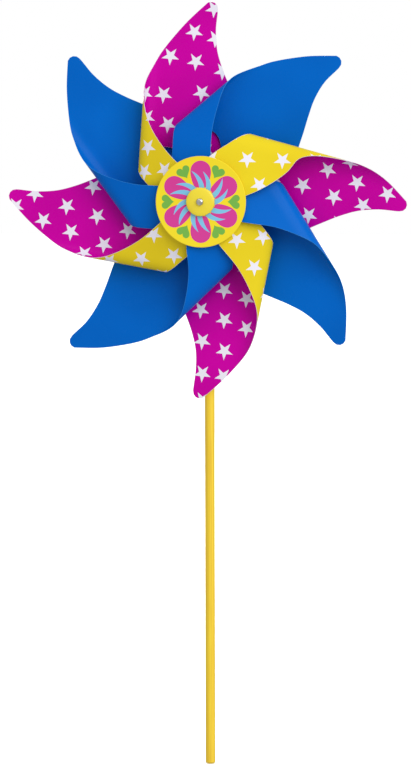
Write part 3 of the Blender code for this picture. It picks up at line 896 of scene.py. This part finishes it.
# ---- the object ----------------------------------------------------------------------------------
def make_sheets():
    edge = foil("foil_cut_edge", "F0E4EC", "E6D6E2", 0.45)
    stars = foil("star_print_white", "F2EFF8", "E8E5F2", 0.3)
    magenta = foil("star_print_magenta", "CE00A4", "C4009C")
    yellow = foil("star_print_yellow", "EBD326", "E4CA22")
    blue = foil("blue_film", "0067C9", "0061C0", 0.26)
    blue_edge = foil("blue_cut_edge", "3F93E0", "2F86D6", 0.4)
    prints = {arm: ((FACE_STARS[arm], *FACE_ROWS[arm]), (REVERSE_STARS[arm], *REVERSE_ROWS[arm]))
              for arm in STAR_ARMS}
    sheet = rolled_sheet("star_sheet", STAR_ARMS, STAR_RING,
                         [magenta, stars, yellow, stars, edge], prints)
    sheet = rolled_sheet("blue_sheet", BLUE_ARMS, BLUE_RING, [blue, blue, blue, blue, blue_edge])


PIN_SIDES = 48
PIN_HEAD_HEIGHT = 1.7
PIN_HEAD_RIM = 0.35          # height of the head's rim below its dome
PIN_HEAD_BEVEL = 0.12
PIN_DOME_STEPS = 12
PIN_TAIL = [(0.55, 0.0), (0.85, 0.2), (1.0, 0.6)]   # share of the radius, distance from the tail
HUB_ROUND = 0.35
CAP_EDGE = [(0.3, 0.0), (0.08, 0.1), (0.0, 0.35)]   # distances in from the rim and off the back
CAP_DOME = 1.5               # height of the cap's dome
CAP_DOME_SPAN = (84, 8)      # the part of a quarter circle that the dome follows
CAP_DOME_STEPS = 14
CAP_BORE_BEVEL = 0.25


def make_disc():
    disc = printed_disc([foil("disc_yellow", "F8E032", "F2D82C", 0.32),
                         foil("disc_pink", "D8459A", "D23F94"),
                         foil("disc_green", "7AB850", "73B04B"),
                         foil("disc_light_blue", "84C8EA", "7CC0E4")])


def make_pin(metal):
    pin, head = PIN_DIAMETER / 2, node_radius("axle_pin")
    tail, nose = forward_span("axle_pin")
    head_back = nose - PIN_HEAD_HEIGHT
    dome_back = head_back + PIN_HEAD_RIM
    shank = [(0, tail)] + [(pin * share, tail + off) for share, off in PIN_TAIL]
    shank += [(pin, head_back)]
    rim = [(head - PIN_HEAD_BEVEL, head_back), (head, head_back + PIN_HEAD_BEVEL)]
    dome = []
    for i in range(PIN_DOME_STEPS + 1):
        turn = math.radians(90 * i / PIN_DOME_STEPS)
        dome.append((head * math.cos(turn), dome_back + (nose - dome_back) * math.sin(turn)))
    mesh = turned_mesh("axle_pin", shank + rim + dome, metal, PIN_SIDES, closed=False)
    look = link(mesh, "stand", "axle_pin")


def make_rings(yellow, white, metal):
    """The small turned pieces with a plain bore and four rounded edges."""
    for node, bore, radius, finish, slot, body in (
            ("pin_retainer", PIN_BORE, 0.45, metal, "steel", "stand"),
            ("rear_bead", PIN_BORE, 0.9, yellow, "yellow_plastic", "bead"),
            ("spacer_sleeve", TUBE_HOLE, 0.4, white, "white_plastic", "wheel"),
            ("strap_washer", TUBE_HOLE, 0.3, white, "white_plastic", "wheel")):
        back, front = forward_span(node)
        outer = node_radius(node)
        profile = rounded([(bore, back), (outer, back), (outer, front), (bore, front)], radius)
        look = link(turned_mesh(node, profile, finish), body, node)


def make_hub(white):
    back, front = forward_span("rear_hub")
    flange, tube, step = node_radius("rear_hub"), TUBE_DIAMETER / 2, back + FLANGE_THICKNESS
    profile = rounded([(PIN_BORE, back), (flange, back), (flange, step), (tube, step),
                       (tube, front), (PIN_BORE, front)], HUB_ROUND)
    look = link(turned_mesh("rear_hub", profile, white), "wheel", "rear_hub")


def make_cap(yellow):
    back, front = forward_span("front_cap")
    outer, seat = node_radius("front_cap"), forward_span("rear_hub")[1] + GAP
    rim_top = front - CAP_DOME
    profile = [(TUBE_HOLE, back)] + [(outer - inward, back + off) for inward, off in CAP_EDGE]
    profile += [(outer, rim_top)]
    start, stop = CAP_DOME_SPAN
    for i in range(CAP_DOME_STEPS + 1):
        turn = math.radians(start + (stop - start) * i / CAP_DOME_STEPS)
        profile.append((outer * math.sin(turn), rim_top + CAP_DOME * math.cos(turn)))
    profile += [(PIN_BORE + CAP_BORE_BEVEL, front), (PIN_BORE, front - CAP_BORE_BEVEL),
                (PIN_BORE, seat), (TUBE_HOLE, seat)]
    look = link(turned_mesh("front_cap", profile, yellow), "wheel", "front_cap")


def make_core():
    """The pieces in the middle of the wheel, and the pin that it turns on."""
    yellow = plastic("hub_yellow", "F2DC2E", "ECD326")
    white = plastic("hub_white", "E4E4E0", "D9D9D4", 0.4)
    metal = steel("bright_wire")
    make_disc()
    make_pin(metal)
    make_rings(yellow, white, metal)
    make_hub(white)
    make_cap(yellow)


def make_stick():
    stick = frame["nodes"]["stick"]
    stick.data.materials.clear()
    stick.data.materials.append(painted_wood("painted_dowel"))


make_camera()
make_world()
make_lights()
make_floor()
make_sheets()
make_core()
make_stick()
